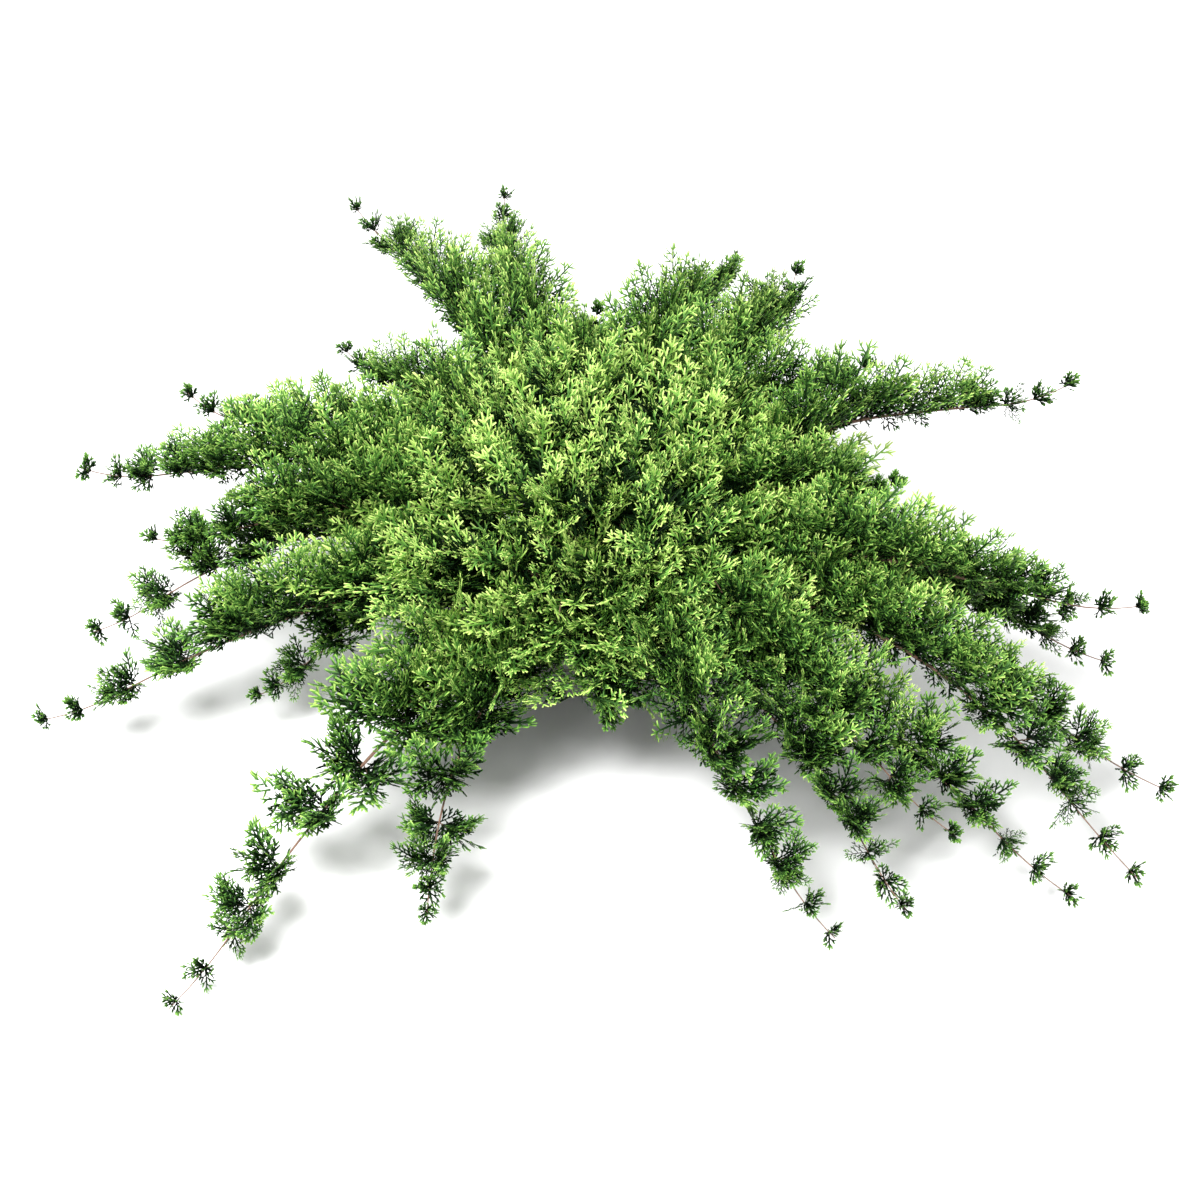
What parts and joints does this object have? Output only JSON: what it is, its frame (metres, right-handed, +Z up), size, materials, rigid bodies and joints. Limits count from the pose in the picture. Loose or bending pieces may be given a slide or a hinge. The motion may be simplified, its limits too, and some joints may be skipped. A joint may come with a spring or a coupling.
{
  "type": "juniper shrub",
  "caption": "Low spreading evergreen shrub with long arching boughs that rise from one stool and carry flat, scale-leaved sprays up to nodding, upturned tips.",
  "frame": {"origin": "centre of the flat cut under the stool, at ground level", "axes": "+Z up; -Y is the near side that the picture looks at, +X is its right"},
  "size_m": [2.3258, 2.6482, 0.6056],
  "materials": {
    "bark": "rough, fibrous, dull brown",
    "young_bark": "thin reddish-brown",
    "foliage": "satin green scale leaves"
  },
  "bodies": {
    "root": {"trunk": "bark", "bough_right_1": "young_bark", "bough_right_3": "young_bark", "bough_right_4": "young_bark", "bough_right_5": "young_bark", "bough_right_6": "young_bark", "bough_front_right_1": "young_bark", "bough_front_right_2": "young_bark", "bough_front_right_3": "young_bark", "bough_front_1": "young_bark", "bough_front_2": "young_bark", "bough_front_4": "young_bark", "bough_front_left_1": "young_bark", "bough_left_1": "young_bark", "bough_left_2": "young_bark", "bough_left_3": "young_bark", "bough_left_4": "young_bark", "bough_back_left_1": "young_bark", "bough_back_1": "young_bark", "bough_back_2": "young_bark", "bough_back_right_1": "young_bark", "bough_back_right_2": "young_bark", "bough_back_right_3": "young_bark", "foliage_right_1": "foliage", "foliage_right_2": "foliage", "foliage_right_3": "foliage", "foliage_right_4": "foliage", "foliage_right_5": "foliage", "foliage_right_6": "foliage", "foliage_front_right_1": "foliage", "foliage_front_right_2": "foliage", "foliage_front_right_3": "foliage", "foliage_front_1": "foliage", "foliage_front_2": "foliage", "foliage_front_3": "foliage", "foliage_front_4": "foliage", "foliage_front_left_1": "foliage", "foliage_front_left_2": "foliage", "foliage_left_1": "foliage", "foliage_left_2": "foliage", "foliage_left_3": "foliage", "foliage_left_4": "foliage", "foliage_back_left_1": "foliage", "foliage_back_left_2": "foliage", "foliage_back_1": "foliage", "foliage_back_2": "foliage", "foliage_back_3": "foliage", "foliage_back_right_1": "foliage", "foliage_back_right_2": "foliage", "foliage_back_right_3": "foliage", "foliage_crown_1": "foliage", "foliage_crown_2": "foliage", "foliage_crown_3": "foliage", "foliage_crown_4": "foliage", "foliage_crown_5": "foliage", "foliage_crown_6": "foliage", "foliage_crown_7": "foliage", "foliage_crown_8": "foliage", "foliage_crown_9": "foliage", "foliage_crown_10": "foliage"}
  },
  "joints": []
}
